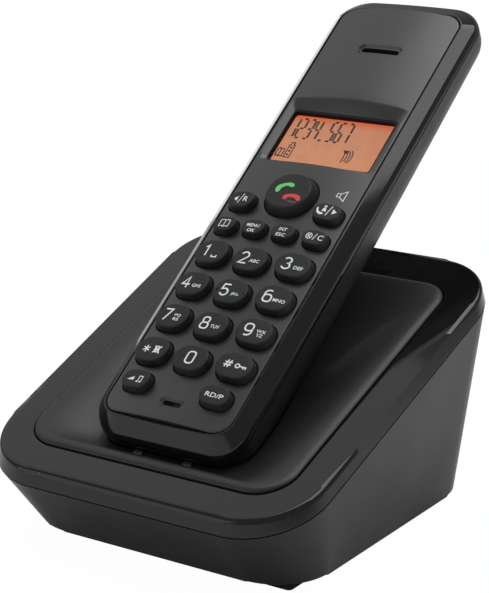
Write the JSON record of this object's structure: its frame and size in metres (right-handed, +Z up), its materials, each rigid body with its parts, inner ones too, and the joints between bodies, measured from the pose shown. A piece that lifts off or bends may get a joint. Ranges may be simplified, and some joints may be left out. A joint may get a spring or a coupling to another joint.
{
  "type": "cordless telephone with charging base",
  "caption": "Slim cordless telephone handset with display and sprung keypad, leaning back in a wedge-shaped charging base.",
  "frame": {"origin": "centre of the bounding box on the surface that the feet stand on", "axes": "+Z up, +X to the right seen from the front, +Y to the back, the way the handset leans"},
  "size_m": [0.1052, 0.157, 0.1323],
  "materials": {
    "grey_satin_plastic": "fine satin, painted",
    "black_gloss_plastic": "polished",
    "black_matte_plastic": "finely textured",
    "black_satin_plastic": "satin",
    "key_plastic": "soft matte",
    "clear_window": "clear plastic, polished",
    "orange_display": "backlit display",
    "circuit_board": "solder mask",
    "silicone": "matte",
    "steel": "plated",
    "gold_contact": "polished",
    "cell_wrap": "plastic sleeve over metal can",
    "foot_rubber": "matte"
  },
  "bodies": {
    "base": {"base_housing": "black_satin_plastic", "base_bezel_ring": "black_gloss_plastic", "cradle_panel": "black_matte_plastic", "base_bottom_cover": "black_matte_plastic", "base_circuit_board": "circuit_board", "line_jack": "black_matte_plastic", "power_jack": "black_matte_plastic", "page_switch": "steel", "foot_front_left": "foot_rubber", "foot_front_right": "foot_rubber", "foot_back_left": "foot_rubber", "foot_back_right": "foot_rubber", "base_screw_front_left": "steel", "base_screw_front_right": "steel", "base_screw_back_left": "steel", "base_screw_back_right": "steel"},
    "handset": {"handset_faceplate": "grey_satin_plastic", "handset_front_frame": "black_gloss_plastic", "handset_rear_shell": "black_matte_plastic", "lcd_window": "clear_window", "lcd_panel": "orange_display", "handset_circuit_board": "circuit_board", "keypad_membrane": "silicone", "earpiece_speaker": "steel", "microphone": "steel", "handsfree_speaker": "steel", "battery_cell_left": "cell_wrap", "battery_cell_right": "cell_wrap", "battery_contact_bridge": "steel", "battery_contact_negative": "steel", "battery_contact_positive": "steel", "handset_screw_left": "steel", "handset_screw_right": "steel", "handset_charge_contact_left": "gold_contact", "handset_charge_contact_right": "gold_contact"},
    "battery_cover_body": {"battery_cover": "black_matte_plastic"},
    "key_talk_body": {"key_talk": "key_plastic"},
    "key_left_body": {"key_left": "key_plastic"},
    "key_right_body": {"key_right": "key_plastic"},
    "key_phonebook_body": {"key_phonebook": "key_plastic"},
    "key_menu_body": {"key_menu": "key_plastic"},
    "key_intercom_body": {"key_intercom": "key_plastic"},
    "key_clear_body": {"key_clear": "key_plastic"},
    "key_1_body": {"key_1": "key_plastic"},
    "key_2_body": {"key_2": "key_plastic"},
    "key_3_body": {"key_3": "key_plastic"},
    "key_4_body": {"key_4": "key_plastic"},
    "key_5_body": {"key_5": "key_plastic"},
    "key_6_body": {"key_6": "key_plastic"},
    "key_7_body": {"key_7": "key_plastic"},
    "key_8_body": {"key_8": "key_plastic"},
    "key_9_body": {"key_9": "key_plastic"},
    "key_star_body": {"key_star": "key_plastic"},
    "key_0_body": {"key_0": "key_plastic"},
    "key_hash_body": {"key_hash": "key_plastic"},
    "key_volume_body": {"key_volume": "key_plastic"},
    "key_redial_body": {"key_redial": "key_plastic"},
    "page_key_body": {"page_key": "key_plastic"},
    "base_contact_left_body": {"base_charge_contact_left": "gold_contact"},
    "base_contact_right_body": {"base_charge_contact_right": "gold_contact"}
  },
  "joints": [
    {"name": "handset_lift", "type": "slide", "parent": "base", "child": "handset", "axis": [0, 0, 1], "range_m": [0, 0.15]},
    {"name": "battery_cover_tilt", "type": "hinge", "parent": "handset", "child": "battery_cover_body", "pos_m": [0, 0.00169, 0.05755], "axis": [-1, 0, 0], "range_deg": [0, 18]},
    {"name": "press_key_talk", "type": "slide", "parent": "handset", "child": "key_talk_body", "axis": [0, 0.592, -0.8059], "range_m": [0, 0.0008], "stiffness_N_per_m": 1500},
    {"name": "press_key_left", "type": "slide", "parent": "handset", "child": "key_left_body", "axis": [0, 0.592, -0.8059], "range_m": [0, 0.0008], "stiffness_N_per_m": 1500},
    {"name": "press_key_right", "type": "slide", "parent": "handset", "child": "key_right_body", "axis": [0, 0.592, -0.8059], "range_m": [0, 0.0008], "stiffness_N_per_m": 1500},
    {"name": "press_key_phonebook", "type": "slide", "parent": "handset", "child": "key_phonebook_body", "axis": [0, 0.592, -0.8059], "range_m": [0, 0.0008], "stiffness_N_per_m": 1500},
    {"name": "press_key_menu", "type": "slide", "parent": "handset", "child": "key_menu_body", "axis": [0, 0.592, -0.8059], "range_m": [0, 0.0008], "stiffness_N_per_m": 1500},
    {"name": "press_key_intercom", "type": "slide", "parent": "handset", "child": "key_intercom_body", "axis": [0, 0.592, -0.8059], "range_m": [0, 0.0008], "stiffness_N_per_m": 1500},
    {"name": "press_key_clear", "type": "slide", "parent": "handset", "child": "key_clear_body", "axis": [0, 0.592, -0.8059], "range_m": [0, 0.0008], "stiffness_N_per_m": 1500},
    {"name": "press_key_1", "type": "slide", "parent": "handset", "child": "key_1_body", "axis": [0, 0.592, -0.8059], "range_m": [0, 0.0008], "stiffness_N_per_m": 1500},
    {"name": "press_key_2", "type": "slide", "parent": "handset", "child": "key_2_body", "axis": [0, 0.592, -0.8059], "range_m": [0, 0.0008], "stiffness_N_per_m": 1500},
    {"name": "press_key_3", "type": "slide", "parent": "handset", "child": "key_3_body", "axis": [0, 0.592, -0.8059], "range_m": [0, 0.0008], "stiffness_N_per_m": 1500},
    {"name": "press_key_4", "type": "slide", "parent": "handset", "child": "key_4_body", "axis": [0, 0.592, -0.8059], "range_m": [0, 0.0008], "stiffness_N_per_m": 1500},
    {"name": "press_key_5", "type": "slide", "parent": "handset", "child": "key_5_body", "axis": [0, 0.592, -0.8059], "range_m": [0, 0.0008], "stiffness_N_per_m": 1500},
    {"name": "press_key_6", "type": "slide", "parent": "handset", "child": "key_6_body", "axis": [0, 0.592, -0.8059], "range_m": [0, 0.0008], "stiffness_N_per_m": 1500},
    {"name": "press_key_7", "type": "slide", "parent": "handset", "child": "key_7_body", "axis": [0, 0.592, -0.8059], "range_m": [0, 0.0008], "stiffness_N_per_m": 1500},
    {"name": "press_key_8", "type": "slide", "parent": "handset", "child": "key_8_body", "axis": [0, 0.592, -0.8059], "range_m": [0, 0.0008], "stiffness_N_per_m": 1500},
    {"name": "press_key_9", "type": "slide", "parent": "handset", "child": "key_9_body", "axis": [0, 0.592, -0.8059], "range_m": [0, 0.0008], "stiffness_N_per_m": 1500},
    {"name": "press_key_star", "type": "slide", "parent": "handset", "child": "key_star_body", "axis": [0, 0.592, -0.8059], "range_m": [0, 0.0008], "stiffness_N_per_m": 1500},
    {"name": "press_key_0", "type": "slide", "parent": "handset", "child": "key_0_body", "axis": [0, 0.592, -0.8059], "range_m": [0, 0.0008], "stiffness_N_per_m": 1500},
    {"name": "press_key_hash", "type": "slide", "parent": "handset", "child": "key_hash_body", "axis": [0, 0.592, -0.8059], "range_m": [0, 0.0008], "stiffness_N_per_m": 1500},
    {"name": "press_key_volume", "type": "slide", "parent": "handset", "child": "key_volume_body", "axis": [0, 0.592, -0.8059], "range_m": [0, 0.0008], "stiffness_N_per_m": 1500},
    {"name": "press_key_redial", "type": "slide", "parent": "handset", "child": "key_redial_body", "axis": [0, 0.592, -0.8059], "range_m": [0, 0.0008], "stiffness_N_per_m": 1500},
    {"name": "press_page_key", "type": "slide", "parent": "base", "child": "page_key_body", "axis": [0, -1, 0], "range_m": [0, 0.0008], "stiffness_N_per_m": 1500},
    {"name": "sink_charge_contact_left", "type": "slide", "parent": "base", "child": "base_contact_left_body", "axis": [0, -0.8059, -0.592], "range_m": [0, 0.001], "stiffness_N_per_m": 400},
    {"name": "sink_charge_contact_right", "type": "slide", "parent": "base", "child": "base_contact_right_body", "axis": [0, -0.8059, -0.592], "range_m": [0, 0.001], "stiffness_N_per_m": 400}
  ]
}
